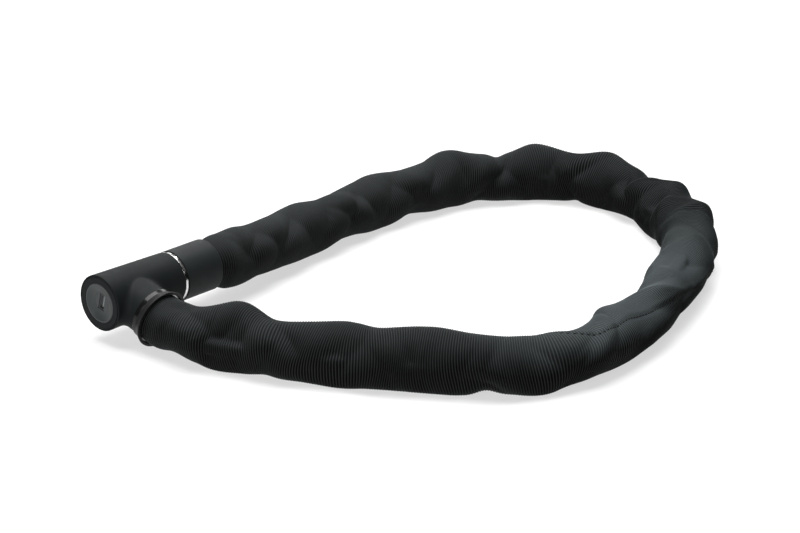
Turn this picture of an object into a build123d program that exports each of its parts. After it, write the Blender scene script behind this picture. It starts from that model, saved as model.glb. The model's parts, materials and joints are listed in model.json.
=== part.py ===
from build123d import *
import math
import os

# A chain lock: a T-shaped lock body, an end cap whose locking pin plugs into it, and a
# square-link chain in a textile sleeve that joins the two in a flat loop on the floor.
# The lock's own frame has +X from the key face to the end cap, the branch towards -Y and
# its axis at height zero. place_lock() rolls it and lifts it to where it lies.

# Driving dimensions, in millimetres and degrees.
lock_radius = 18.0            # lock body and end cap
face_radius = 19.3            # the body widens to this towards the key's face
lock_height = 29.1            # main axis above the floor
lock_roll = 15.0              # the branch dips by this much
body_end = 61.4               # where the lock body stops along its axis
joint_width = 3.2             # body to end cap
cap_end = 95.7                # mouth of the end cap
branch_x = 24.1               # branch axis along the body
branch_end = 35.4             # collar's rim, from the main axis
bore_radius = 14.0            # main bore of the housing
running_gap = 0.06            # radial clearance of turning and sliding fits
press_gap = 0.02              # radial clearance left in pressed fits
middle = Vector(227.6, -124.8, 0)   # centre of the whole loop's box, over the origin

# Locking mechanism
pin_radius = 7.0              # locking pin
pin_nose = 35.4               # its tip along the main axis
groove_start = 37.2           # groove that the bolts drop into
groove_width = 4.4
groove_radius = 4.8
plug_radius = 6.9
plug_face = 2.7               # how deep the plug's face lies in the dish
cam_face = 28.6
cam_thick = 3.0
cam_slot_radius = 8.67        # radius of each eccentric slot's centre line
cam_slot_offset = 1.63        # how far that circle's centre is off the axis
follower_radius = 1.5
follower_height = 9.75        # follower's distance from the axis, unlocked

# Chain and sleeve
link_count = 37
bar = 7.0                     # side of the square bar
link_inner_width = 13.0
link_slack = 2.0              # play between two links, so that each pivot can bend
anchor_radius = 3.0           # the pins that hold the chain's end links
anchor_distance = 28.5        # anchor pin from the main axis
cap_pin_x = 85.0              # cross pin in the end cap
sleeve_radius = 17.0
sleeve_wall = 1.2
hinge_swing = 8.0             # the most that a hinge of the chain turns as the cap is pulled
branch_sleeve_radius = 16.4   # where the sleeve goes into the collar
cap_sleeve_radius = 15.7      # where it goes into the end cap's mouth
segments = {                  # links in each stiff length of the chain, from the branch
    "a0": range(0, 1),        # held by the anchor pin
    "a1": range(1, 4),
    "a2": range(4, 7),
    "a3": range(7, 12),
    "a4": range(12, 17),
    "b4": range(17, 21),
    "b3": range(21, 27),
    "b2": range(27, 31),
    "b1": range(31, 36),
    "b0": range(36, 37),      # held by the end cap's cross pin
}

# The chain's centre line, chosen by hand: x, y, height above the floor.
anchor_slope = math.sin(math.radians(lock_roll))
first_contact = anchor_distance - anchor_radius - 0.3
last_contact = cap_pin_x - anchor_radius - 0.3
route = [
    (branch_x, -first_contact, lock_height - first_contact * anchor_slope),
    (23.2, -50, 18.6),
    (28, -80, 17.2),
    (41, -113, 17.2),
    (58, -148, 17.2),
    (79, -184, 17.2),
    (100, -217, 17.2),
    (121, -243, 17.2),
    (150, -261, 17.2),
    (188, -268, 17.2),
    (228, -266, 17.2),
    (270, -257, 17.2),
    (313, -240, 17.2),
    (356, -215, 17.2),
    (394, -182, 17.2),
    (422, -144, 17.2),
    (437, -103, 17.2),
    (435, -63, 17.2),
    (415, -27, 17.2),
    (378, 0, 17.2),
    (334, 14, 17.2),
    (286, 18.5, 17.2),
    (238, 16.5, 18.0),
    (194, 11.5, 20.2),
    (154, 6, 23.6),
    (116, 1, 27.6),
    (last_contact, 0, lock_height),
]


def along_x(shape, x):
    """A solid modelled along +Z from z = 0, turned to run along +X from x."""
    return Pos(x, 0, 0) * Rot(0, 90, 0) * shape


def along_branch(shape, distance):
    """A solid modelled along +Z from z = 0, turned to run down the branch."""
    return Pos(branch_x, -distance, 0) * Rot(90, 0, 0) * shape


def disc(radius, length):
    return Cylinder(radius, length, align=(Align.CENTER, Align.CENTER, Align.MIN))


def tube(outer, inner, length):
    return disc(outer, length) - disc(inner, length)


def block(x, y, z):
    """A box between the given (low, high) pairs."""
    size = (x[1] - x[0], y[1] - y[0], z[1] - z[0])
    return Pos(x[0], y[0], z[0]) * Box(*size, align=(Align.MIN, Align.MIN, Align.MIN))


def place_lock(shape):
    return Pos(-middle.X, -middle.Y, lock_height) * Rot(lock_roll, 0, 0) * shape


def place_loop(shape):
    return Pos(-middle.X, -middle.Y, 0) * shape


def save(name, shape):
    shape.label = name
    export_step(shape, f"parts/{name}.step")


# --- Lock body ---------------------------------------------------------------------------

branch_neck = 26.6            # where the housing's branch steps down to its spigot
spigot_radius = 16.2
spigot_end = 32.0
branch_radius = 17.0
branch_bore = 14.6
branch_floor = 16.3           # bottom of the branch's bore
blend_radius = 5.5
bezel_radius = 18.3
dish_radius = 13.4
shelf = 5.0                   # depth of the key face's seat


def make_housing():
    taper = Cone(face_radius, lock_radius, body_end - 0.4, align=(Align.CENTER, Align.CENTER, Align.MIN))
    main = along_x(taper, 0.4)
    branch = along_branch(disc(branch_radius, branch_neck), 0)
    shell = main + branch
    on_both = [
        edge for edge in shell.edges()
        if abs(Vector(0, edge.center().Y, edge.center().Z).length - lock_radius) < 3
        and 4 < edge.center().X < 45 and edge.center().Y < -1
        and edge.geom_type != GeomType.CIRCLE
    ]
    shell = fillet(on_both, blend_radius)
    rims = [
        edge for edge in shell.edges().filter_by(GeomType.CIRCLE)
        if edge.radius > lock_radius - 0.01 and min(edge.center().X, body_end - edge.center().X) < 1
    ]
    shell = fillet(rims, 0.5)
    shell += along_branch(disc(spigot_radius, spigot_end), 0)
    shell -= along_x(disc(bore_radius, body_end), shelf)
    shell -= along_x(disc(bezel_radius, shelf), 0)
    shell -= along_branch(disc(branch_bore, spigot_end), branch_floor)
    shell -= Pos(branch_x, -anchor_distance, 0) * Cylinder(anchor_radius + press_gap, 31.0)
    shell -= Pos(barrel_pin_x, 0, 0) * Cylinder(barrel_pin_radius + press_gap, 2 * barrel_pin_top)
    return shell


barrel_end = 27.0
barrel_radius = 13.9
barrel_pin_x = 9.0
barrel_pin_radius = 1.5
barrel_pin_top = 16.4
barrel_pin_low = 9.5
carrier_start = 35.0
carrier_end = 46.0
bolt_half_width = 4.0
blade_half_width = 5.5
bolt_top = 13.2
bolt_play = 0.15


def make_bezel_ring():
    ring = along_x(tube(bezel_radius - 0.35, dish_radius + 0.1, shelf - 0.1), 0.05)
    return chamfer(ring.edges().filter_by(GeomType.CIRCLE).group_by(Axis.X)[0], 0.35)


def make_face_dish():
    """A round plate, hollowed towards the plug that comes through its middle."""
    rim = 12.6
    deep = plug_face - 0.05
    hole = plug_radius + running_gap
    middle_radius = (rim + hole) / 2
    profile = Line((hole, shelf - 0.1), (dish_radius, shelf - 0.1))
    profile += Line((dish_radius, shelf - 0.1), (dish_radius, 0.3))
    profile += Line((dish_radius, 0.3), (rim, 0.3))
    profile += ThreePointArc((rim, 0.3), (middle_radius, 0.3 + 0.62 * (deep - 0.3)), (hole, deep))
    profile += Line((hole, deep), (hole, shelf - 0.1))
    return along_x(revolve(make_face(Plane.XZ * profile), Axis.Z), 0)


def make_cylinder_barrel():
    barrel = along_x(tube(barrel_radius, plug_radius + running_gap, barrel_end - shelf - 0.1), shelf + 0.1)
    barrel -= Pos(barrel_pin_x, 0, 0) * Cylinder(barrel_pin_radius + press_gap, 2 * barrel_pin_top)
    return barrel


def make_barrel_pins():
    pin = disc(barrel_pin_radius, barrel_pin_top - barrel_pin_low)
    upper = Pos(barrel_pin_x, 0, barrel_pin_low) * pin
    lower = Pos(barrel_pin_x, 0, -barrel_pin_low) * Rot(180, 0, 0) * pin
    return Compound(children=[upper, lower])


def make_bolt_carrier():
    carrier = along_x(tube(bore_radius - 0.1, pin_radius + running_gap, carrier_end - carrier_start), carrier_start)
    blade_wide = blade_half_width + bolt_play
    arm_wide = bolt_half_width + bolt_play
    blade_x = (groove_start - 0.1, groove_start + groove_width + 0.1)
    carrier -= block(blade_x, (-blade_wide, blade_wide), (-14.5, 14.5))
    carrier -= block((carrier_start, blade_x[1]), (-arm_wide, arm_wide), (-14.5, 14.5))
    return carrier


def make_lock_bolt(side):
    """A bolt plate with its follower pin; side is +1 above the pin and -1 below it."""
    blade_x = (groove_start + 0.4, groove_start + groove_width - 0.4)
    front_x = (cam_face + cam_thick + 0.3, pin_nose - 0.8)
    blade_z = (pin_radius + 0.4, bolt_top)
    bolt = block(blade_x, (-blade_half_width, blade_half_width), (blade_z[0], 11.0))
    bolt += block((front_x[0], blade_x[1]), (-bolt_half_width, bolt_half_width), (10.8, bolt_top))
    bolt += block(front_x, (-bolt_half_width, bolt_half_width), (8.0, 11.0))
    follower = along_x(disc(follower_radius, 3.2), front_x[0] - 3.0)
    bolt += Pos(0, 0, follower_height) * follower
    return bolt if side > 0 else Rot(180, 0, 0) * bolt


def make_body_liner():
    return along_x(tube(bore_radius - 0.1, pin_radius + running_gap, body_end - carrier_end - 0.2), carrier_end + 0.1)


ring_radius = 16.7


def make_ring_carrier():
    return along_x(tube(ring_radius, pin_radius + 0.3, joint_width - 0.15), body_end + 0.05)


def make_joint_ring():
    ring = along_x(tube(17.6, ring_radius + press_gap, 2.1), body_end + 0.55)
    outer = ring.edges().filter_by(GeomType.CIRCLE).filter_by(lambda edge: edge.radius > 17.5)
    return fillet(outer, 0.3)


def make_anchor_pin():
    return Pos(branch_x, -anchor_distance, 0) * Cylinder(anchor_radius, 30.8)


def make_gloss_ring():
    ring = along_branch(tube(18.2, spigot_radius + press_gap, 3.8), branch_neck + 0.05)
    outer = ring.edges().filter_by(GeomType.CIRCLE).filter_by(lambda edge: edge.radius > 18)
    return fillet(outer, 0.5)


def make_collar():
    """Widens towards its rim; the sleeve comes out of its mouth."""
    start = branch_neck + 3.95
    seat_end = 32.2
    profile = Polyline(
        (spigot_radius + press_gap, start),
        (18.5, start),
        (20.5, branch_end - 0.5),
        (20.4, branch_end),
        (18.7, branch_end),
        (18.3, branch_end - 0.6),
        (18.3, seat_end),
        (spigot_radius + press_gap, seat_end),
        close=True,
    )
    return along_branch(revolve(make_face(Plane.XZ * profile), Axis.Z), 0)


def make_branch_crimp_ring():
    return along_branch(tube(18.1, 17.2, 1.0), 32.4)


# --- Key plug and shutter ----------------------------------------------------------------

slot_width = 3.4
slot_height = 10.0
pocket_end = 9.6              # shutter pocket's back wall
disc_start = 10.0
disc_pitch = 2.3
disc_count = 6
plug_end = 27.6
stub_radius = 4.0             # round tail that carries the cam
shutter_y = 2.45              # shutter's pivot, beside the slot
shutter_x = 4.6
shutter_pin_radius = 0.45


def slot(width, height, x):
    return block(x, (-width / 2, width / 2), (-height / 2, height / 2))


def make_key_plug():
    plug = along_x(disc(plug_radius, plug_end - plug_face), plug_face)
    plug += along_x(disc(stub_radius, cam_face + cam_thick - plug_end), plug_end)
    plug -= slot(slot_width, slot_height, (plug_face, pocket_end))
    plug -= slot(5.6, 12.0, (plug_face, plug_face + 0.5))
    plug -= block((plug_face + 1.1, pocket_end), (-2.8, 3.4), (-5.5, 5.5))
    plug -= slot(slot_width, slot_height, (pocket_end, disc_start))
    plug -= along_x(disc(5.8, disc_count * disc_pitch + 0.2), disc_start)
    plug -= Pos(shutter_x, shutter_y, 0) * Cylinder(shutter_pin_radius + press_gap, 12.2)
    return plug


def make_key_discs():
    one = along_x(disc(5.7, disc_pitch - 0.3), 0) - slot(slot_width, 8.4, (0, disc_pitch))
    return Compound(children=[
        Pos(disc_start + 0.2 + index * disc_pitch, 0, 0) * one for index in range(disc_count)
    ])


def make_plug_clip():
    clip = along_x(tube(9.5, stub_radius + press_gap, 0.8), plug_end + 0.05)
    return clip - block((plug_end, plug_end + 1), (-2.0, 2.0), (0, 10))


def make_lock_cam():
    """Each slot is an arc about a centre beside the axis, so a quarter turn moves a bolt in."""
    cam = along_x(tube(13.0, stub_radius + press_gap, cam_thick), cam_face)
    for half_turn in (0, 180):
        aside = math.radians(135 + half_turn)
        half = follower_radius + 0.2
        ring = along_x(tube(cam_slot_radius + half, cam_slot_radius - half, cam_thick), cam_face)
        ring = Pos(0, cam_slot_offset * math.cos(aside), cam_slot_offset * math.sin(aside)) * ring
        cam -= ring & cam_wedge(half_turn - 14, half_turn + 104)
    return cam


def cam_wedge(start, end):
    """A pie slice round the main axis from one angle to another, as wide as the cam."""
    reach = 16.0
    points = [(0, 0)]
    steps = 8
    for step in range(steps + 1):
        angle = math.radians(start + (end - start) * step / steps)
        points.append((reach * math.cos(angle), reach * math.sin(angle)))
    pie = extrude(make_face(Polyline(*points, close=True)), cam_thick)
    return Pos(cam_face, 0, 0) * Rot(0, 90, 0) * Rot(0, 0, 90) * pie


def make_keyway_shutter():
    """A leaf with one knuckle; its corners by the pin are cut away for the two springs."""
    leaf_x = (shutter_x - 0.35, shutter_x + 0.35)
    leaf = block(leaf_x, (-2.3, shutter_y), (-4.9, 4.9))
    for low in (-5.0, 3.0):
        leaf -= block((shutter_x - 1, shutter_x + 1), (shutter_y - 0.9, shutter_y + 1), (low, low + 2.0))
    leaf += Pos(shutter_x, shutter_y, 0) * Cylinder(0.72, 6.0)
    return leaf - Pos(shutter_x, shutter_y, 0) * Cylinder(shutter_pin_radius + 0.05, 12)


def make_shutter_pin():
    return Pos(shutter_x, shutter_y, 0) * Cylinder(shutter_pin_radius, 12.0)


def make_shutter_spring():
    """Close-wound coils on the pin, above and below the shutter's knuckle."""
    wire = 0.12
    coils = []
    for end in (1, -1):
        for turn in range(4):
            height = end * (3.4 + turn * 2.1 * wire)
            coils.append(Pos(shutter_x, shutter_y, height) * Torus(shutter_pin_radius + 0.16, wire))
    return Compound(children=coils)


# --- End cap -----------------------------------------------------------------------------

cap_start = body_end + joint_width
cap_wall_end = cap_start + 2.0
cap_bore = 16.6
core_bore = 14.5
core_floor = 72.5
core_end = 88.2


def make_end_cap():
    cap = along_x(disc(lock_radius, cap_end - cap_start), cap_start)
    rims = cap.edges().filter_by(GeomType.CIRCLE)
    cap = fillet(rims, 0.6)
    cap -= along_x(disc(cap_bore, cap_end), cap_wall_end)
    cap -= along_x(disc(pin_radius + 0.1, 5), cap_start)
    return cap


def make_cap_core():
    core = along_x(disc(cap_bore - 0.1, core_end - cap_wall_end - 0.1), cap_wall_end + 0.1)
    core -= along_x(disc(core_bore, core_end), core_floor)
    core -= along_x(disc(pin_radius + press_gap, core_floor), cap_wall_end)
    core -= Pos(cap_pin_x, 0, 0) * Cylinder(anchor_radius + press_gap, 40)
    return core


def make_locking_pin():
    pin = along_x(disc(pin_radius, core_floor - pin_nose - 0.2), pin_nose)
    pin = chamfer(pin.edges().filter_by(GeomType.CIRCLE).group_by(Axis.X)[0], 2.0, 1.6)
    pin -= along_x(tube(pin_radius + 1, groove_radius, groove_width), groove_start)
    pin -= along_x(tube(pin_radius + 1, 5.6, 1.9), 57.0)
    return pin


def make_pin_seal_ring():
    return along_x(Torus(6.35, 0.68), 57.95)


def make_cap_chain_pin():
    return Pos(cap_pin_x, 0, 0) * Cylinder(anchor_radius, 2 * cap_bore - 1.2)


def make_cap_crimp_ring():
    return along_x(tube(cap_bore - 0.05, 15.9, 1.6), core_end + 0.1)


# --- Chain and sleeve --------------------------------------------------------------------

chain_line = Spline(*[Vector(*point) for point in route])
pitch = chain_line.length / link_count
pivots = [
    chain_line.position_at(pitch * index, position_mode=PositionMode.LENGTH)
    for index in range(link_count + 1)
]


def make_link():
    """A link lying flat along +X, centred, with its bar's square section."""
    inner_length = pitch + link_slack
    inner_corner = 4.0
    outer_face = RectangleRounded(inner_length + 2 * bar, link_inner_width + 2 * bar, inner_corner + bar)
    inner_face = RectangleRounded(inner_length, link_inner_width, inner_corner)
    link = extrude(outer_face - inner_face, bar / 2, both=True)
    corners = link.edges().filter_by(lambda edge: abs(abs(edge.center().Z) - bar / 2) < 0.01)
    return fillet(corners, 0.8)


flat_link = make_link()


def make_chain(links):
    placed = []
    for index in links:
        start = pivots[index]
        end = pivots[index + 1]
        run = (end - start).normalized()
        across = Vector(0, 0, 1).cross(run).normalized()
        seat = Plane(origin=(start + end) / 2, x_dir=run, z_dir=run.cross(across))
        quarter = 90 if index % 2 else 0
        placed.append(seat.location * Rot(quarter, 0, 0) * flat_link)
    return Compound(children=placed)


def bend_at(index):
    return (pivots[index] - pivots[index - 1]).get_angle(pivots[index + 1] - pivots[index])


def inset(index):
    """How far a length of sleeve ends before a pivot, to swing there and stay clear."""
    if index == 0:
        return 2.0
    if index == link_count:
        return 91.2 - last_contact
    return sleeve_radius * math.tan(math.radians(bend_at(index) + hinge_swing) / 2) + 0.8


def sleeve_points(links):
    """The pivots along one length of sleeve, drawn back at each end by the inset."""
    points = [pivots[index] for index in range(links[0], links[-1] + 2)]
    first_run = (points[1] - points[0]).normalized()
    last_run = (points[-1] - points[-2]).normalized()
    points[0] = points[0] + first_run * inset(links[0])
    points[-1] = points[-1] - last_run * inset(links[-1] + 1)
    return points


def bend_radii(points):
    radii = []
    for before, corner, after in zip(points, points[1:], points[2:]):
        turn = (corner - before).get_angle(after - corner)
        shorter = min((corner - before).length, (after - corner).length)
        radii.append(0.45 * shorter / math.tan(math.radians(turn) / 2))
    return radii


def make_sleeve(links, outer):
    points = sleeve_points(links)
    if len(points) > 2:
        path = FilletPolyline(*points, radius=bend_radii(points))
    else:
        path = Line(*points)
    start = Plane(origin=path @ 0, z_dir=path % 0)
    section = start * (Circle(outer) - Circle(outer - sleeve_wall))
    return sweep(section, path=path)


def make_branch_sleeve(links):
    """The first length, trimmed square to the branch where the crimp ring holds it."""
    trim = Pos(0, 0, lock_height) * Rot(lock_roll, 0, 0) * along_branch(disc(30, 33.6), 0)
    return make_sleeve(links, branch_sleeve_radius) - trim


# --- Writing the nodes -------------------------------------------------------------------

lock_nodes = {
    "lock_housing": make_housing,
    "bezel_ring": make_bezel_ring,
    "face_dish": make_face_dish,
    "cylinder_barrel": make_cylinder_barrel,
    "barrel_pins": make_barrel_pins,
    "bolt_carrier": make_bolt_carrier,
    "body_liner": make_body_liner,
    "ring_carrier": make_ring_carrier,
    "joint_ring": make_joint_ring,
    "anchor_pin": make_anchor_pin,
    "gloss_ring": make_gloss_ring,
    "collar": make_collar,
    "branch_crimp_ring": make_branch_crimp_ring,
    "key_plug": make_key_plug,
    "key_discs": make_key_discs,
    "plug_clip": make_plug_clip,
    "lock_cam": make_lock_cam,
    "shutter_pin": make_shutter_pin,
    "shutter_spring": make_shutter_spring,
    "keyway_shutter": make_keyway_shutter,
    "upper_lock_bolt": lambda: make_lock_bolt(1),
    "lower_lock_bolt": lambda: make_lock_bolt(-1),
    "end_cap": make_end_cap,
    "cap_core": make_cap_core,
    "locking_pin": make_locking_pin,
    "pin_seal_ring": make_pin_seal_ring,
    "cap_chain_pin": make_cap_chain_pin,
    "cap_crimp_ring": make_cap_crimp_ring,
}

os.makedirs("parts", exist_ok=True)

for name, make in lock_nodes.items():
    save(name, place_lock(make()))

for name, links in segments.items():
    save(f"chain_{name}", place_loop(make_chain(links)))
    if name == "a0":
        sleeve = make_branch_sleeve(links)
    elif name == "b0":
        sleeve = make_sleeve(links, cap_sleeve_radius)
    else:
        sleeve = make_sleeve(links, sleeve_radius)
    save(f"sleeve_{name}", place_loop(sleeve))
    print(name, "sleeve bend radii", [round(radius) for radius in bend_radii(sleeve_points(links))])

print("pitch", round(pitch, 3), "chain length", round(chain_line.length, 1))
for index in sorted({links[0] for links in segments.values()} - {0}):
    point = pivots[index] - middle
    print("pivot", index, [round(value, 3) for value in (point.X, point.Y, point.Z)])
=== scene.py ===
import json
import math
import bpy
import numpy as np
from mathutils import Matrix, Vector


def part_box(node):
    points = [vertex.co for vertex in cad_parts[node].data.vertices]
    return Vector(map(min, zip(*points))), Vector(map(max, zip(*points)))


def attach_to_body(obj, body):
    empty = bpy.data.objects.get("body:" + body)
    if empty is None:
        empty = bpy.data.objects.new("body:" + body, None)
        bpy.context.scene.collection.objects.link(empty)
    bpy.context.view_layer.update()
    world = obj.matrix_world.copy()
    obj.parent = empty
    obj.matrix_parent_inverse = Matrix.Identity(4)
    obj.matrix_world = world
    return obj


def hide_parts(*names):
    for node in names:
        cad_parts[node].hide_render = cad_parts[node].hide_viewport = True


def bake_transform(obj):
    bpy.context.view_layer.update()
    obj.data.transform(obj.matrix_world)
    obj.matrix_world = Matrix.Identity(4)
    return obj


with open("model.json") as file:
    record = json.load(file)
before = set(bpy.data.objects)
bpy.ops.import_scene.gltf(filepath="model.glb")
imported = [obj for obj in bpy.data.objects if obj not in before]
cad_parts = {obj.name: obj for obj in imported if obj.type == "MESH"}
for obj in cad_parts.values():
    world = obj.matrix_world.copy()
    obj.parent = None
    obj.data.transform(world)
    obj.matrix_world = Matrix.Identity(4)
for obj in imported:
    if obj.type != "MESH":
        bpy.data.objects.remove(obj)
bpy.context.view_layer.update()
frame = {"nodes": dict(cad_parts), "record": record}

MM = 0.001
record = frame["record"]
joints = {joint["name"]: joint for joint in record["behaviour"]["joints"]}

# --- Camera ------------------------------------------------------------------------------
# It looks down at the lock head's front left, from where the loop opens to the right.

CAMERA_PLACE = Vector((-1.2136, -1.0522, 0.655))
CAMERA_TURN = 47.37            # degrees from +Y towards +X that it looks along
CAMERA_DIP = 21.5              # degrees below the horizon
CAMERA_LENS = 112.5

camera_data = bpy.data.cameras.new("camera")
camera_data.lens = CAMERA_LENS
camera_data.sensor_width = 36.0
camera_data.clip_end = 20.0
camera = bpy.data.objects.new("camera", camera_data)
camera.location = CAMERA_PLACE
camera.rotation_euler = (math.radians(90 - CAMERA_DIP), 0, math.radians(-CAMERA_TURN))
bpy.context.scene.collection.objects.link(camera)
bpy.context.scene.camera = camera


# --- Material helpers --------------------------------------------------------------------

class Graph:
    """A material's nodes, with short ways to add and join them."""

    def __init__(self, name, **shader):
        self.material = bpy.data.materials.new(name)
        self.material.use_nodes = True
        self.tree = self.material.node_tree
        self.shader = self.tree.nodes["Principled BSDF"]
        for socket, value in shader.items():
            self.shader.inputs[socket.replace("_", " ")].default_value = value

    def node(self, kind, settings=None, **inputs):
        """Adds a node. Each input goes by its name, or by its number as i0, i1 and so on."""
        made = self.tree.nodes.new(kind)
        for key, value in (settings or {}).items():
            setattr(made, key, value)
        for key, value in inputs.items():
            numbered = key[0] == "i" and key[1:].isdigit()
            self.feed(value, made.inputs[int(key[1:]) if numbered else key.replace("_", " ")])
        return made

    def feed(self, value, socket):
        """Joins another node's output to a socket, or sets the socket to a constant."""
        if isinstance(value, bpy.types.NodeSocket):
            self.tree.links.new(value, socket)
        else:
            socket.default_value = value

    def link(self, output, socket_name):
        self.tree.links.new(output, self.shader.inputs[socket_name])

    def noise(self, vector, scale, detail=3.0, roughness=0.55):
        return self.node("ShaderNodeTexNoise", Vector=vector, Scale=scale, Detail=detail,
                         Roughness=roughness).outputs["Fac"]

    def spread(self, value, low, high, low_in=0.3, high_in=0.7):
        """Stretches low_in to high_in over low to high."""
        return self.node("ShaderNodeMapRange", Value=value, From_Min=low_in, From_Max=high_in,
                         To_Min=low, To_Max=high).outputs["Result"]

    def calculate(self, operation, *values):
        made = self.node("ShaderNodeMath", {"operation": operation})
        for value, socket in zip(values, made.inputs):
            self.feed(value, socket)
        return made.outputs[0]

    def mix(self, factor, first, second):
        """One colour where the factor is 0, the other where it's 1."""
        made = self.node("ShaderNodeMix", {"data_type": "RGBA"})
        for index, value in ((0, factor), (6, first), (7, second)):
            self.feed(value, made.inputs[index])
        return made.outputs[2]

    def bump(self, height, strength, distance, normal=None):
        made = self.node("ShaderNodeBump", Height=height, Strength=strength, Distance=distance)
        if normal is not None:
            self.tree.links.new(normal, made.inputs["Normal"])
        return made.outputs["Normal"]

    def place(self):
        return self.node("ShaderNodeTexCoord").outputs["Object"]


def coated(name, color, worn, roughness, grain=2600.0, grain_depth=0.00004, **shader):
    """A moulded or coated surface: fine grain, faint blotches and lighter rubbed patches."""
    graph = Graph(name, **shader)
    where = graph.place()
    blotch = graph.noise(where, 55.0, 4.0)
    rubbed = graph.noise(where, 260.0, 6.0, 0.7)
    graph.link(graph.mix(graph.spread(blotch, 0.0, 1.0), color, worn), "Base Color")
    graph.link(graph.spread(rubbed, roughness - 0.05, roughness + 0.06), "Roughness")
    graph.link(graph.bump(graph.noise(where, grain, 2.0), 0.35, grain_depth), "Normal")
    return graph.material


def metal(name, color, roughness, scratch=900.0, tarnish_and_reflection=0.28):
    """Turned or ground steel: fine lines round the part, a mottled roughness and darker blotches; the
    blotches are tarnish, and where the tarnish is high, as on the chrome, they are painted dark reflections.
    """
    graph = Graph(name, Metallic=1.0)
    where = graph.place()
    lines = graph.node("ShaderNodeMapping", Vector=where, Scale=(scratch, 12.0, 12.0)).outputs[0]
    drawn = graph.noise(lines, 1.0, 3.0)
    stain_and_reflection_mask = graph.noise(where, 120.0, 4.0)
    dark = tuple(channel * (1 - tarnish_and_reflection) for channel in color[:3]) + (1.0,)
    graph.link(graph.mix(graph.spread(stain_and_reflection_mask, 0.0, 1.0, 0.4, 0.6), color, dark), "Base Color")
    graph.link(graph.spread(drawn, roughness - 0.04, roughness + 0.1), "Roughness")
    graph.link(graph.bump(drawn, 0.2, 0.00003), "Normal")
    return graph.material


def gray(value, green=0.0, blue=0.0):
    """A gray, with a little more green and blue in it."""
    return (value, value + green, value + blue, 1.0)


DISH_GRAYS = (gray(0.022, 0.004, 0.0045), gray(0.028, 0.0045, 0.005))
MATERIALS = {
    "soft_touch_black": coated("soft_touch", gray(0.0072, 0.0014, 0.0018), gray(0.0096, 0.0016, 0.0021), 0.5,
                               Specular_IOR_Level=0.05),
    "dish_plastic": coated("dish", *DISH_GRAYS, 0.42, Specular_IOR_Level=0.3),
    "collar_black": coated("collar_coat", gray(0.007), gray(0.0105, 0.0, 0.0007), 0.46,
                           Specular_IOR_Level=0.15),
    "gloss_black": coated("gloss_coat", gray(0.0025), gray(0.004), 0.16, grain_depth=0.000004,
                          Specular_IOR_Level=0.16),
    "dark_seal": coated("seal", gray(0.004), gray(0.007), 0.65),
    "rubber": coated("rubber", gray(0.006), gray(0.01), 0.7),
    "plug_metal": coated("plug_coat", *DISH_GRAYS, 0.42, Specular_IOR_Level=0.3),
    # Painted reflection: the chrome's high tarnish paints dark blotches on it.
    "chrome": metal("polished_chrome", gray(0.7), 0.09, 300.0, tarnish_and_reflection=0.75),
    "brass": metal("brass", (0.62, 0.42, 0.16, 1.0), 0.28),
    "shutter_metal": metal("shutter", gray(0.16, 0.01, 0.01), 0.3),
    "steel": metal("steel", gray(0.5), 0.3),
    "spring_steel": metal("spring_steel", gray(0.36), 0.25),
    "chain_steel": metal("chain_steel", gray(0.34, -0.01, -0.02), 0.35),
}
# The cap's coat is a paler copy of the body's: painted light, standing in for the light that falls on the
# cap.
CAP_PAINTED_LIGHT_COAT = coated("cap_painted_light_coat", gray(0.0112, 0.002, 0.0025), gray(0.0148, 0.0022, 0.0028), 0.46,
                  Specular_IOR_Level=0.07)


def paint(node, material):
    for slot_now in frame["nodes"][node].material_slots:
        slot_now.material = material


# --- CAD pieces keep their shape and take the detailed materials ---------------------------

for part in record["subparts"]:
    if part["material_slot"] in MATERIALS:
        paint(part["node"], MATERIALS[part["material_slot"]])
paint("end_cap", CAP_PAINTED_LIGHT_COAT)


# --- The sleeve's centre line, from the chain's links ------------------------------------

CHAIN_ORDER = ("a0", "a1", "a2", "a3", "a4", "b4", "b3", "b2", "b1", "b0")


def loose_centres(obj):
    """The middle of each separate solid in a node's mesh."""
    mesh = obj.data
    places = np.empty(len(mesh.vertices) * 3)
    mesh.vertices.foreach_get("co", places)
    # Corners at the same place are one corner, even where the mesh is split for shading.
    places, same = np.unique(places.reshape(-1, 3).round(6), axis=0, return_inverse=True)
    edges = np.empty(len(mesh.edges) * 2, dtype=np.int64)
    mesh.edges.foreach_get("vertices", edges)
    first, second = same.ravel()[edges].reshape(-1, 2).T
    label = np.arange(len(places))
    while True:
        lowest = np.minimum(label[first], label[second])
        relabelled = label.copy()
        np.minimum.at(relabelled, first, lowest)
        np.minimum.at(relabelled, second, lowest)
        relabelled = relabelled[relabelled]
        if np.array_equal(relabelled, label):
            break
        label = relabelled
    middles = []
    for value in np.unique(label):
        own = places[label == value]
        middles.append((own.min(axis=0) + own.max(axis=0)) / 2)
    return middles


def link_centres():
    """Every link's centre in order: the nearest to the head's side first, then each next one."""
    by_the_head = np.array(joints["chain_a1_hinge"]["pos_m"]) + np.array((0, 30 * MM, 5 * MM))
    ordered = [by_the_head]
    for name in CHAIN_ORDER:
        waiting = loose_centres(frame["nodes"]["chain_" + name])
        while waiting:
            gaps = [np.linalg.norm(centre - ordered[-1]) for centre in waiting]
            ordered.append(waiting.pop(int(np.argmin(gaps))))
    return np.array(ordered[1:])


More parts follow.
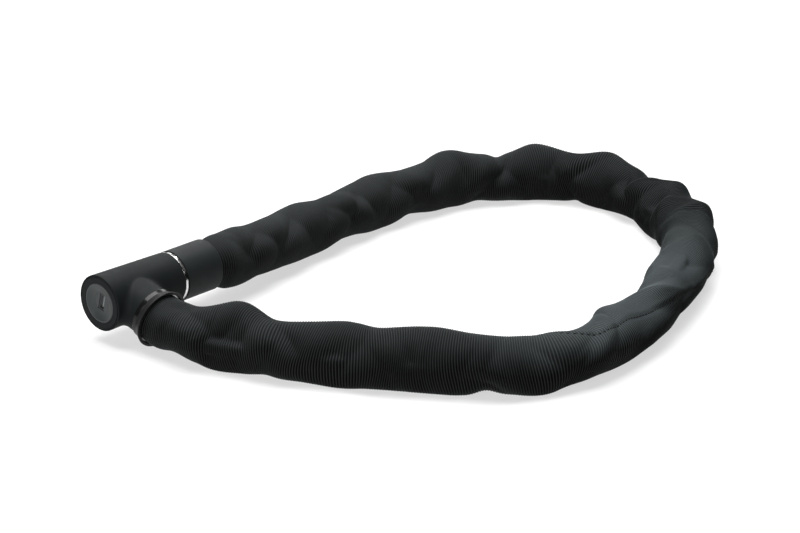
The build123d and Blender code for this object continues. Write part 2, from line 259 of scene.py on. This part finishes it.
class Line:
    """A natural cubic spline through points, read by its length along the curve."""

    SAMPLES = 12000

    def __init__(self, points):
        self.points = np.array(points)
        gaps = np.linalg.norm(np.diff(self.points, axis=0), axis=1)
        self.knots = np.concatenate([[0], np.cumsum(gaps)])
        count = len(points)
        matrix = np.eye(count)
        right = np.zeros((count, 3))
        for index in range(1, count - 1):
            before, after = gaps[index - 1], gaps[index]
            matrix[index, index - 1:index + 2] = (before, 2 * (before + after), after)
            slope_after = (self.points[index + 1] - self.points[index]) / after
            slope_before = (self.points[index] - self.points[index - 1]) / before
            right[index] = 6 * (slope_after - slope_before)
        self.curve = np.linalg.solve(matrix, right)
        self.fine = np.linspace(0, self.knots[-1], self.SAMPLES)
        steps = np.linalg.norm(np.diff(self.raw(self.fine), axis=0), axis=1)
        self.lengths = np.concatenate([[0], np.cumsum(steps)])
        self.length = self.lengths[-1]

    def raw(self, at):
        index = np.clip(np.searchsorted(self.knots, at, side="right") - 1, 0, len(self.knots) - 2)
        low, high = self.knots[index], self.knots[index + 1]
        gap = (high - low)[:, None]
        left, right = (high - at)[:, None], (at - low)[:, None]
        bend_low, bend_high = self.curve[index], self.curve[index + 1]
        return ((bend_low * left ** 3 + bend_high * right ** 3) / (6 * gap)
                + (self.points[index] / gap - bend_low * gap / 6) * left
                + (self.points[index + 1] / gap - bend_high * gap / 6) * right)

    def at(self, length):
        return self.raw(np.interp(np.atleast_1d(length), self.lengths, self.fine))

    def station(self, point):
        """The length along the line at which it passes nearest to a point."""
        samples = self.raw(self.fine)
        return self.lengths[np.argmin(np.linalg.norm(samples[:, :2] - np.array(point)[:2], axis=1))]


links = link_centres()
collar_low, collar_high = (np.array(corner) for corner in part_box("collar"))
cap_low, cap_high = (np.array(corner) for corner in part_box("end_cap"))
head_axis = (cap_low + cap_high) / 2          # a point on the head's main axis
branch_x = (collar_low[0] + collar_high[0]) / 2
BRANCH_DIP = math.radians(15)
branch_way = np.array((0, -math.cos(BRANCH_DIP), -math.sin(BRANCH_DIP)))
branch_root = np.array((branch_x, head_axis[1], head_axis[2]))
BRANCH_TUCK = 30.6 * MM                       # from the head's axis to the sleeve's hidden end
CAP_TUCK = 5.6 * MM                           # from the cap's mouth to its other hidden end
sleeve_start = branch_root + branch_way * BRANCH_TUCK
sleeve_end = np.array((cap_high[0] - CAP_TUCK, head_axis[1], head_axis[2]))
line = Line([
    sleeve_start, sleeve_start + branch_way * 9 * MM, *links[1:-1],
    sleeve_end + np.array((12 * MM, 0, -0.4 * MM)), sleeve_end,
])
link_stations = np.array([line.station(place) for place in links])


# --- The sleeve's surface ----------------------------------------------------------------

RIB = 1.62 * MM                # pitch of the ribs that run round the sleeve
RIB_DEPTH = 0.42 * MM
RIB_STEPS = 4                  # rings of points in each rib
AROUND = 80                    # points round the sleeve
PERIMETER = 118 * MM           # of the tube's cloth, measured round it
HALF_THICK = (14.8 * MM, 20.5 * MM)    # the least and the most
FLOOR_GAP = 0.15 * MM
LEAST_RADIUS = 10.5 * MM       # the deepest that a fold goes
LINK_HALF_WIDE = 15.2 * MM     # half a link's width and thickness, with the cloth's own thickness
LINK_HALF_THICK = 6.0 * MM
LINK_HALF_LONG = 24.0 * MM
MOUTH_RADIUS = 17.3 * MM       # where it leaves the collar
CAP_RADIUS = 15.7 * MM         # where it enters the end cap
HELD_RADIUS = 14.6 * MM        # the chain's own reach, where the lock holds the sleeve round
SOFTEN = 0.7 * MM              # how softly the cloth meets the chain and the floor
SEAM_RISE = 0.55 * MM          # of the lip beside the seam

rib_count = int(round(line.length / RIB))
station_count = rib_count * RIB_STEPS + 1
stations = np.linspace(0, line.length, station_count)
angles = np.linspace(0, 2 * math.pi, AROUND, endpoint=False)

# The tube is pushed together along the chain, so it bulges and pinches. Humps of the side
# that faces into the loop and of the side that faces out of it: (place, length, amount) in mm.
REACH = 18.2                   # of each side from the centre line, without its humps
INNER_HUMPS = [
    (66, 17, 9.3), (134, 23, 4.6), (196, 31, 5.4), (298, 22, -3.8), (341, 13, 3.8), (384, 14, -1.5),
    (442, 24, 3.8), (518, 14, -4.2), (584, 22, 2.8), (650, 11, 2.1), (680, 9, -1.4), (717, 16, 1.5),
    (760, 10, -2.2), (786, 10, -0.8), (822, 17, -3.6), (897, 20, -3.6), (1022, 15, 2.2),
]
OUTER_HUMPS = [
    (24, 13, -3.6), (54, 11, 1.7), (92, 10, -1.8), (139, 14, 2.1), (205, 13, 1.0), (228, 8, -3.6),
    (160, 90, 1.1), (262, 16, 4.4), (404, 34, -4.2), (480, 15, 2.2), (512, 12, 4.6), (545, 19, 8.8),
    (585, 12, 6.2), (620, 8, -5.0), (658, 15, 6.2), (709, 17, 6.6), (741, 7, -3.2), (782, 19, 7.4),
    (856, 24, 4.2), (944, 20, 3.6), (1015, 8, 1.0),
]

# The flattened tube leans over as it goes round the loop: (place in mm, degrees).
LEAN = [(0, 31), (60, 26), (250, 24), (300, 30), (330, 54), (365, 72), (430, 78), (480, 88), (520, 106),
        (560, 127), (600, 144), (650, 156), (710, 161), (800, 156), (880, 150), (950, 148), (1050, 150)]
# How far round it measures, slack or pulled tight by the bend: (place, length) in mm.
AROUND_IT = [(0, 118), (320, 118), (360, 105), (430, 105), (480, 112), (520, 118), (1050, 118)]
# The lengthwise seam winds round as the cloth twists: (place in mm, degrees round from outward).
SEAM = [(0, 232), (150, 228), (240, 212), (270, 186), (286, 152), (302, 122), (320, 100), (340, 82),
        (365, 64), (408, 30), (436, 16), (470, -4), (500, -30), (600, -60), (760, -72), (900, -66),
        (1050, -60)]
PULLED = (300, 580)            # in mm, the stretch that the bend pulls tight
CALM = (335, 530)              # its smoothest part

# Hollows pressed into it, or ridges where the depth is negative: (place, degrees round from the
# outward side, length, width, slant in degrees, depth), lengths in mm.
HOLLOWS = [
    (30, 150, 12, 11, 20, 3.4), (45, 118, 14, 7, -40, 2.4), (58, 62, 19, 7, 52, 4.4),
    (78, 92, 16, 6, 72, 3.4), (90, 46, 13, 7, 60, 2.6), (100, 135, 15, 7, -50, 2.2),
    (112, 90, 20, 6, -55, 1.6), (128, 60, 18, 6, 50, 1.3), (150, 110, 22, 7, 60, 1.8),
    (168, 55, 16, 6, -55, 1.8), (186, 80, 24, 7, -62, 1.5), (214, 60, 16, 6, 58, 1.8),
    (232, 30, 14, 6, -30, 2.6), (236, 110, 22, 7, 65, 1.6), (262, 130, 18, 6, -55, 1.4),
    (285, 60, 20, 8, 60, 1.6), (302, 140, 16, 6, 40, 2.4), (322, 120, 24, 7, 66, 2.4),
    (383, 88, 22, 7, -36, -3.0), (398, 120, 18, 9, -40, 2.0), (372, 50, 20, 9, -36, 1.4),
    (430, 130, 16, 7, 45, -1.8), (450, 62, 22, 8, -43, 2.4), (478, 95, 20, 9, -45, -2.0),
    (505, 70, 18, 9, 50, 2.6), (522, 30, 14, 5, 57, -3.6), (534, 60, 12, 7, -30, 2.4),
    (545, 45, 15, 5, -75, -3.2), (558, 100, 18, 6, -50, -3.2), (572, 125, 18, 7, -50, 3.4),
    (574, 70, 26, 8, 56, 2.6), (604, 120, 24, 6, 64, 3.0), (624, 70, 22, 7, -52, 3.4),
    (640, 120, 22, 6, 62, 2.0), (668, 70, 24, 7, 50, 2.6), (682, 130, 20, 6, -60, 2.8),
    (700, 90, 26, 6, 66, 1.4), (726, 120, 18, 6, -58, 1.8), (740, 60, 24, 8, 62, 3.2),
    (758, 130, 18, 6, 50, 2.6), (776, 90, 24, 6, -64, 1.2), (806, 70, 26, 8, 56, 2.6),
    (824, 125, 20, 7, -50, 2.8), (846, 80, 22, 6, 60, 1.4), (868, 110, 20, 6, -58, 1.8),
    (884, 60, 26, 8, 50, 2.6), (900, 120, 20, 8, -50, 2.6), (924, 80, 22, 7, 58, 1.8),
    (948, 110, 22, 6, -60, 1.4), (966, 70, 24, 8, 52, 2.8), (984, 115, 20, 7, -54, 2.2),
    (1002, 60, 18, 7, 50, 2.2), (1018, 95, 16, 6, -50, 1.4),
]


def read(table, where):
    """A table's values at some stations, in between its entries."""
    places, values = zip(*table)
    return np.interp(where, np.array(places) * MM, values)


def smooth_noise(seed, where, period):
    """A slow uneven wave along the sleeve, the same on every run."""
    total = np.zeros_like(where)
    random = np.random.RandomState(seed)
    for octave in range(4):
        total = total + np.sin(2 * math.pi * where / period * (1 + 0.61 * octave)
                               + random.uniform(0, 2 * math.pi)) / (1 + octave)
    return total / 1.6


def humps(entries, where):
    """How far one side stands out from the sleeve's centre line."""
    total = np.full_like(where, REACH * MM)
    for place, length, amount in entries:
        total += amount * MM * np.exp(-((where - place * MM) / (length * MM)) ** 2)
    return total


def no_lower(value, least):
    """Keeps a value above the least, with a soft turn between the two."""
    return least + SOFTEN * np.logaddexp(0, (value - least) / SOFTEN)


def step(value, low, high):
    """Eases from 0 at low to 1 at high."""
    part = np.clip((value - low) / (high - low), 0, 1)
    return part * part * (3 - 2 * part)


def fold(across, along, width, length):
    """A soft valley with a fairly sharp bottom and a slight lip on each side."""
    sharp = np.exp(-(np.sqrt((across / width) ** 2 + 0.05) - 0.22) * 1.25)
    lip = 0.24 * np.exp(-((np.abs(across) - 2.1 * width) / (1.1 * width)) ** 2)
    return (sharp - lip) * np.exp(-(along / length) ** 2)


def all_folds():
    """The hollows above, folds of the far side and the underside, and many small creases."""
    random = np.random.RandomState(29)
    entries = []
    for place, angle, length, width, slant, amount in HOLLOWS:
        strength = 1.0 if PULLED[0] < place < PULLED[1] else 1.4
        entries.append((place, angle, length * 1.3, width, slant, amount * strength))
    for index in range(52):
        entries.append((
            30 + 19.2 * index + random.uniform(-6, 6), random.uniform(215, 325), random.uniform(14, 24),
            random.uniform(5, 8), random.choice((-1, 1)) * random.uniform(48, 70), random.uniform(2, 4.6),
        ))
    for _ in range(150):
        place = random.uniform(8, line.length / MM - 8)
        strength = 0.4 if CALM[0] < place < CALM[1] else 1.0
        entries.append((
            place, random.uniform(0, 360), random.uniform(9, 22), random.uniform(2.2, 4.2),
            random.choice((-1, 1)) * random.uniform(40, 78),
            random.uniform(0.2, 0.8) * random.choice((1, 1, -0.6)) * strength,
        ))
    return entries


FOLDS = all_folds()


def folds(where, turn):
    """How far the cloth goes in at each place."""
    depth = np.zeros(np.broadcast(where, turn).shape)
    radius = PERIMETER / (2 * math.pi)
    for place, angle, length, width, slant, amount in FOLDS:
        near = np.abs(where[:, 0] - place * MM) < 3 * length * MM
        ahead = where[near] - place * MM
        turn_near = turn[near] if len(turn) > 1 else turn
        turned = (turn_near - math.radians(angle) + math.pi) % (2 * math.pi) - math.pi
        sideways = turned * radius
        cos, sin = math.cos(math.radians(slant)), math.sin(math.radians(slant))
        depth[near] += amount * MM * fold(ahead * sin - sideways * cos, ahead * cos + sideways * sin,
                                          width * MM, length * MM)
    return depth * (0.25 + 0.75 * np.sin(turn) ** 2)


def chain_reach(where, angle):
    """How far the links stand out from the chain's axis; they lie flat and upright by turns."""
    reach = np.full(angle.shape, LEAST_RADIUS)
    nearest = np.searchsorted(link_stations, where[:, 0])
    for offset in (-2, -1, 0, 1):
        index = np.clip(nearest + offset, 0, len(link_stations) - 1)
        away = np.abs(where[:, 0] - link_stations[index]) / LINK_HALF_LONG
        taper = np.clip(1 - away ** 6, 0, 1)[:, None] ** 0.5
        upright = (index % 2 == 1)[:, None]
        across = np.where(upright, LINK_HALF_THICK, LINK_HALF_WIDE)
        tall = np.where(upright, LINK_HALF_WIDE, LINK_HALF_THICK)
        boxed = (np.abs(np.cos(angle) / across) ** 4 + np.abs(np.sin(angle) / tall) ** 4) ** -0.25
        reach = np.maximum(reach, boxed * taper)
    return reach


def sections(where):
    """Centre, outward and across directions, and half sizes of the sleeve at some stations."""
    place = line.at(where)
    ahead = line.at(np.minimum(where + 0.5 * MM, line.length)) - line.at(np.maximum(where - 0.5 * MM, 0))
    along = ahead / np.linalg.norm(ahead, axis=1)[:, None]
    side = np.cross(along, (0.0, 0.0, 1.0))
    side /= np.linalg.norm(side, axis=1)[:, None]
    top = np.cross(side, along)
    lean = np.radians(read(LEAN, where) - 90)
    outward = side * np.cos(lean)[:, None] + top * np.sin(lean)[:, None]
    across = top * np.cos(lean)[:, None] - side * np.sin(lean)[:, None]
    inner, outer = humps(INNER_HUMPS, where), humps(OUTER_HUMPS, where)
    half_wide = (inner + outer) / 2
    shift = (outer - inner) / 2
    even = read(AROUND_IT, where) * MM / (2 * math.pi)
    half_thick = np.clip(np.sqrt(np.maximum(2 * even ** 2 - half_wide ** 2, 0)), *HALF_THICK)
    start = 1 - step(where, 4.5 * MM, 22 * MM)
    end = 1 - step(line.length - where, 5.5 * MM, 20 * MM)
    for amount, radius in ((start, MOUTH_RADIUS), (end, CAP_RADIUS)):
        half_wide = half_wide * (1 - amount) + radius * amount
        half_thick = half_thick * (1 - amount) + radius * amount
        shift = shift * (1 - amount)
    return place, along, outward, across, lean, half_wide, half_thick, shift, np.maximum(start, end)


def cloth_points(where, turn):
    """Points of the cloth: where is (n, 1) stations, turn is (n, m) or (1, m) angles."""
    place, along, outward, across, lean, half_wide, half_thick, shift, held = sections(where[:, 0])
    held = held[:, None]
    out = half_wide[:, None] * np.cos(turn) + shift[:, None]
    over = half_thick[:, None] * np.sin(turn)
    away = np.hypot(out, over)
    wanted = away - folds(where, turn) * (1 - held)
    # The seam lies in a groove with a lip on one side.
    seam_turn = np.radians(read(SEAM, where))
    off_seam = ((turn - seam_turn + math.pi) % (2 * math.pi) - math.pi) * away
    lip = np.exp(-((off_seam - 2.6 * MM) / (2.2 * MM)) ** 2)
    groove = np.exp(-(off_seam / (1.1 * MM)) ** 2)
    wanted = wanted + SEAM_RISE * (lip - 0.8 * groove) * (1 - held)
    # The cloth can't go into the chain.
    least = chain_reach(where, np.arctan2(over, out) + lean[:, None])
    least = np.where(held > 0.5, np.minimum(least, HELD_RADIUS), least)
    rib_wave = 0.5 - 0.5 * np.cos(2 * math.pi * where / line.length * rib_count)
    wanted = no_lower(wanted, least) + RIB_DEPTH * (rib_wave - 0.5)
    out, over = out / away * wanted, over / away * wanted
    points = place[:, None, :] + outward[:, None, :] * out[..., None] + across[:, None, :] * over[..., None]
    # The ribs drift along the sleeve a little, as pulled cloth does.
    drift = 2.3 * MM * np.sin(turn + 2 * math.pi * where / 0.17 + smooth_noise(3, where, 0.2))
    drift = drift + 1.5 * MM * np.sin(2 * turn - 2 * math.pi * where / 0.083
                                      + 2 * smooth_noise(5, where, 0.3))
    points += along[:, None, :] * (drift * (1 - held))[..., None]
    # It rests on the floor.
    points[..., 2] = no_lower(points[..., 2], FLOOR_GAP)
    return points


surface = cloth_points(stations[:, None], angles[None, :])


def grid_mesh(name, points):
    """A smooth tube mesh from rings of points."""
    rings, around = points.shape[:2]
    mesh = bpy.data.meshes.new(name)
    mesh.vertices.add(rings * around)
    mesh.vertices.foreach_set("co", points.astype(np.float32).ravel())
    ring = np.arange(rings - 1)[:, None] * around
    column = np.arange(around)[None, :]
    after = (column + 1) % around
    corners = (ring + column, ring + after, ring + around + after, ring + around + column)
    quads = np.stack(corners, axis=-1).reshape(-1, 4)
    mesh.loops.add(quads.size)
    mesh.loops.foreach_set("vertex_index", quads.ravel().astype(np.int32))
    mesh.polygons.add(len(quads))
    mesh.polygons.foreach_set("loop_start", np.arange(0, quads.size, 4, dtype=np.int32))
    mesh.update(calc_edges=True)
    mesh.validate()
    mesh.polygons.foreach_set("use_smooth", np.ones(len(mesh.polygons), dtype=bool))
    return mesh


def add_uv(mesh, rings, around, first_ring):
    """A UV map: the share of the way round the tube, and the share of the whole sleeve's length."""
    layer = mesh.uv_layers.new(name="cloth")
    column = np.tile(np.arange(around)[None, :, None] + np.array((0, 1, 1, 0)), (rings - 1, 1, 1))
    row = np.tile(np.arange(rings - 1)[:, None, None] + np.array((0, 0, 1, 1)), (1, around, 1))
    flat = np.stack([column / around, (row + first_ring) / station_count], axis=-1)
    layer.data.foreach_set("uv", flat.astype(np.float32).ravel())


CLOTH_TONES = ((0.0122, 0.0128, 0.0129, 1), (0.0225, 0.0236, 0.0238, 1))
SPECK_TONE = (0.026, 0.0276, 0.028, 1)
# Painted highlight: the paler tone of the bend's up-facing cloth.
BEND_HIGHLIGHT_TONE = (0.062, 0.0725, 0.075, 1)
PAINTED_GROOVE_SHADES = ((0.0004, 0.0004, 0.0004, 1), (0.028, 0.033, 0.0345, 1))    # painted shade, away from the bend's painted highlight and within it
SHEEN_TINT = (0.72, 0.86, 0.88, 1.0)
PAINTED_HIGHLIGHT_CENTRE = (0.035, -0.133, 0.02)          # the middle of the pulled bend
YARNS_AROUND = 230.0


def rib_crest(graph, uv):
    """1 on top of each rib and 0 in the grooves between them, from the way along the sleeve."""
    along = graph.node("ShaderNodeSeparateXYZ", Vector=uv).outputs["Y"]
    turns = graph.calculate("MULTIPLY", along, 2 * math.pi * rib_count)
    return graph.spread(graph.calculate("COSINE", turns), 1.0, 0.0, -1.0, 1.0)


def bend_painted_highlight(graph, where):
    """A painted highlight: the bend's cloth is painted paler where it faces up, most near the bend's middle,
    so it's the palest.
    """
    normal = graph.node("ShaderNodeNewGeometry").outputs["Normal"]
    facing = graph.node("ShaderNodeSeparateXYZ", Vector=normal).outputs["Z"]
    away = graph.node("ShaderNodeVectorMath", {"operation": "DISTANCE"}, i0=where,
                      i1=PAINTED_HIGHLIGHT_CENTRE).outputs["Value"]
    return graph.calculate("MULTIPLY", graph.spread(facing, 0.0, 1.0, 0.1, 0.8),
                           graph.spread(away, 1.0, 0.16, 0.06, 0.16))


def fabric():
    """Black ribbed weave: painted shade in the grooves, yarns across each rib, a soft sheen and a painted
    highlight on the bend's up-facing cloth.
    """
    graph = Graph("ribbed_fabric", Specular_IOR_Level=0.03, Sheen_Weight=0.07, Sheen_Roughness=0.3,
                  Sheen_Tint=SHEEN_TINT)
    where = graph.place()
    uv = graph.node("ShaderNodeTexCoord").outputs["UV"]
    patches = graph.noise(where, 18.0, 4.0)
    specks = graph.noise(where, 900.0, 2.0)
    bend_highlight = bend_painted_highlight(graph, where)
    tone = graph.mix(graph.spread(patches, 0.0, 1.0), *CLOTH_TONES)
    tone = graph.mix(graph.spread(specks, 0.0, 0.35, 0.45, 0.75), tone, SPECK_TONE)
    # Painted highlight on the up-facing cloth of the bend.
    tone = graph.mix(bend_highlight, tone, BEND_HIGHLIGHT_TONE)
    groove = graph.mix(bend_highlight, *PAINTED_GROOVE_SHADES)
    # Painted shade: the grooves between the ribs are painted near black, so the ribs' tops stand out as if
    # lit.
    tone = graph.mix(graph.spread(rib_crest(graph, uv), 0.0, 1.0, 0.45, 1.0), groove, tone)
    graph.link(tone, "Base Color")
    graph.link(graph.spread(patches, 0.55, 0.7), "Roughness")
    yarns = graph.node("ShaderNodeMapping", Vector=uv, Scale=(YARNS_AROUND, rib_count, 1.0)).outputs[0]
    twist = graph.node("ShaderNodeTexWave", {"bands_direction": "DIAGONAL"}, Vector=yarns, Scale=0.5,
                       Distortion=0.6, Detail=1.0).outputs["Fac"]
    woven = graph.bump(twist, 0.5, 0.00012)
    graph.link(graph.bump(graph.noise(where, 2400.0, 2.0), 0.25, 0.00005, woven), "Normal")
    return graph.material


FABRIC = fabric()
THREAD = coated("thread", gray(0.003), gray(0.006), 0.6, Specular_IOR_Level=0.1)

# Where the chain bends, and where its model is open.
pivot_stations = {name: line.station(joints[name]["pos_m"]) for name in joints if name.startswith("chain_")}
OPEN_AFTER = 17                # links from the branch to the open pivot
open_pivot = (link_stations[OPEN_AFTER - 1] + link_stations[OPEN_AFTER]) / 2


def ring_at(station):
    """The nearest ring that lies in a groove between two ribs."""
    return int(round(station / line.length * rib_count)) * RIB_STEPS


def between(first, second):
    """Half way along a stiff length of the chain, between its two hinges."""
    return (pivot_stations[f"chain_{first}_hinge"] + pivot_stations[f"chain_{second}_hinge"]) / 2


# The sleeve is cut half way along each stiff length, and at the open pivot.
cuts = [
    0.0, between("a1", "a2"), between("a2", "a3"), between("a3", "a4"),
    (pivot_stations["chain_a4_hinge"] + open_pivot) / 2, open_pivot,
    (open_pivot + pivot_stations["chain_b4_hinge"]) / 2, between("b4", "b3"), between("b3", "b2"),
    between("b2", "b1"), line.length,
]
# Each piece's name, the one or two bodies it belongs to, the hinge between them and the CAD node it
# replaces.
SLEEVES = [
    ("sleeve_cloth_1", "lock_body", "chain_a1", "a1", "sleeve_a0"),
    ("sleeve_cloth_2", "chain_a1", "chain_a2", "a2", "sleeve_a1"),
    ("sleeve_cloth_3", "chain_a2", "chain_a3", "a3", "sleeve_a2"),
    ("sleeve_cloth_4", "chain_a3", "chain_a4", "a4", "sleeve_a3"),
    ("sleeve_cloth_5", "chain_a4", None, None, "sleeve_a4"),
    ("sleeve_cloth_6", "chain_b4", None, None, "sleeve_b4"),
    ("sleeve_cloth_7", "chain_b4", "chain_b3", "b4", "sleeve_b3"),
    ("sleeve_cloth_8", "chain_b3", "chain_b2", "b3", "sleeve_b2"),
    ("sleeve_cloth_9", "chain_b2", "chain_b1", "b2", "sleeve_b1"),
    ("sleeve_cloth_10", "chain_b1", "end_cap", "b1", "sleeve_b0"),
]


def add(name, mesh):
    made = bpy.data.objects.new(name, mesh)
    bpy.context.scene.collection.objects.link(made)
    return made


def attach(obj, first, second):
    """Rides on one body; a piece between two bodies only has its placement baked into its mesh."""
    if second is None:
        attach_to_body(obj, first)
        return
    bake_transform(obj)


for index, (name, first, second, hinge, node) in enumerate(SLEEVES):
    low, high = ring_at(cuts[index]), ring_at(cuts[index + 1])
    part = surface[low:high + 1].copy()
    if name == "sleeve_cloth_6":
        # The loop's model is open here, so its two halves stand a hair apart.
        part[0] = part[0] * 0.9 + part[1] * 0.1
    mesh = grid_mesh(name, part)
    add_uv(mesh, high - low + 1, AROUND, low)
    mesh.materials.append(FABRIC)
    cloth = add(name, mesh)
    attach(cloth, first, second)
    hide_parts(node)


# --- The lengthwise seam, with its stitches ------------------------------------------------

STITCH_PITCH = 3.1 * MM
STITCH_LONG = 1.9 * MM
STITCH_WIDE = 0.95 * MM
THREAD_RISE = 0.45 * MM
SEAM_HIDDEN = 9 * MM           # of the seam at each end, inside the lock
THREAD_SIDES = 8
THREAD_RINGS = 5


def thread_spots(on_cloth, beside, inside):
    """Rings of points of one stitch, which runs from the first to the last of three points."""
    way = on_cloth[2] - on_cloth[0]
    way /= np.linalg.norm(way)
    out = np.cross(way, beside - on_cloth[1])
    out /= np.linalg.norm(out)
    if np.dot(out, on_cloth[1] - inside) < 0:
        out = -out
    flat = np.cross(out, way)
    spots = []
    for ring in range(THREAD_RINGS):
        part = ring / (THREAD_RINGS - 1)
        fat = math.sin(math.pi * (0.08 + 0.84 * part)) ** 0.6
        centre = on_cloth[0] * (1 - part) + on_cloth[2] * part + out * THREAD_RISE * (fat - 0.35)
        for corner in range(THREAD_SIDES):
            angle = 2 * math.pi * corner / THREAD_SIDES
            spots.append(centre + (flat * math.cos(angle) + out * math.sin(angle)) * STITCH_WIDE / 2 * fat)
    return spots


def thread_faces(start):
    """The sides and the two ends of a stitch whose points begin at a number."""
    faces = []
    for ring in range(THREAD_RINGS - 1):
        near, far = start + ring * THREAD_SIDES, start + (ring + 1) * THREAD_SIDES
        for corner in range(THREAD_SIDES):
            after = (corner + 1) % THREAD_SIDES
            faces.append((near + corner, near + after, far + after, far + corner))
    last = start + (THREAD_RINGS - 1) * THREAD_SIDES
    faces.append(tuple(start + corner for corner in reversed(range(THREAD_SIDES))))
    faces.append(tuple(last + corner for corner in range(THREAD_SIDES)))
    return faces


def stitch_mesh(name, first_station, last_station):
    """A row of short threads, each a small rounded bar lying along the seam."""
    count = int((last_station - first_station) / STITCH_PITCH)
    middles = first_station + (np.arange(count) + 0.5) * (last_station - first_station) / count
    ends = (middles[:, None] + np.array((-0.5, 0.0, 0.5)) * STITCH_LONG).ravel()[:, None]
    turn = np.radians(read(SEAM, ends))
    all_on_cloth = cloth_points(ends, turn).reshape(count, 3, 3)
    all_beside = cloth_points(ends, turn + 0.06).reshape(count, 3, 3)
    spots, faces = [], []
    for middle, on_cloth, beside in zip(middles, all_on_cloth, all_beside[:, 1]):
        faces += thread_faces(len(spots))
        spots += thread_spots(on_cloth, beside, line.at(middle)[0])
    mesh = bpy.data.meshes.new(name)
    mesh.from_pydata([tuple(spot) for spot in spots], [], faces)
    mesh.polygons.foreach_set("use_smooth", np.ones(len(mesh.polygons), dtype=bool))
    mesh.materials.append(THREAD)
    return mesh


for index, (name, first, second, hinge, node) in enumerate(SLEEVES):
    low = max(cuts[index], SEAM_HIDDEN)
    high = min(cuts[index + 1], line.length - SEAM_HIDDEN)
    stitches = add(name.replace("cloth", "stitches"), stitch_mesh(name + "_stitches", low, high))
    attach(stitches, first, second)


# --- Floor and light ---------------------------------------------------------------------

FLOOR_REACH = 4.0


def stage_floor():
    """A plain floor, nearly white and evenly bright."""
    mesh = bpy.data.meshes.new("floor")
    corners = [(x * FLOOR_REACH, y * FLOOR_REACH, 0) for x, y in ((-1, -1), (1, -1), (1, 1), (-1, 1))]
    mesh.from_pydata(corners, [], [(0, 1, 2, 3)])
    graph = Graph("pale_floor", Roughness=0.9, Base_Color=(0.3, 0.3, 0.3, 1), Emission_Color=(1, 1, 1, 1),
                  Emission_Strength=0.6)
    mesh.materials.append(graph.material)
    floor = add("floor", mesh)


def area_light(name, place, target, size, power):
    data = bpy.data.lights.new(name, "AREA")
    data.shape = "RECTANGLE"
    data.size, data.size_y = size
    data.energy = power
    light = add(name, data)
    light.location = place
    light.rotation_euler = (Vector(target) - Vector(place)).to_track_quat("-Z", "Y").to_euler()


stage_floor()
area_light("overhead", (0.1, 0.35, 1.8), (0.0, 0.0, 0.0), (2.0, 1.5), 88.0)
area_light("back", (1.5, 1.4, 0.9), (0.0, 0.0, 0.0), (1.6, 0.6), 10.0)
area_light("left", (-2.0, 0.0, 0.7), (-0.15, 0.05, 0.0), (0.9, 0.7), 8.0)
area_light("head_fill", (-1.1, -0.55, 0.4), (-0.2, 0.1, 0.02), (0.5, 0.3), 3.2)


def studio_world():
    """Bright above and behind the object, dark at the front right."""
    world = bpy.data.worlds.new("studio")
    world.use_nodes = True
    tree = world.node_tree
    way = tree.nodes.new("ShaderNodeTexCoord").outputs["Generated"]
    toward = tree.nodes.new("ShaderNodeVectorMath")
    toward.operation = "DOT_PRODUCT"
    toward.inputs[1].default_value = (0.35, 0.75, 0.55)
    tree.links.new(way, toward.inputs[0])
    level = tree.nodes.new("ShaderNodeMapRange")
    for socket, value in (("From Min", -0.3), ("From Max", 0.8), ("To Min", 0.02), ("To Max", 0.35)):
        level.inputs[socket].default_value = value
    tree.links.new(toward.outputs["Value"], level.inputs["Value"])
    tree.links.new(level.outputs["Result"], tree.nodes["Background"].inputs["Strength"])
    tree.nodes["Background"].inputs["Color"].default_value = (1, 1, 1, 1)
    bpy.context.scene.world = world


studio_world()
bpy.context.scene.view_settings.view_transform = "Standard"
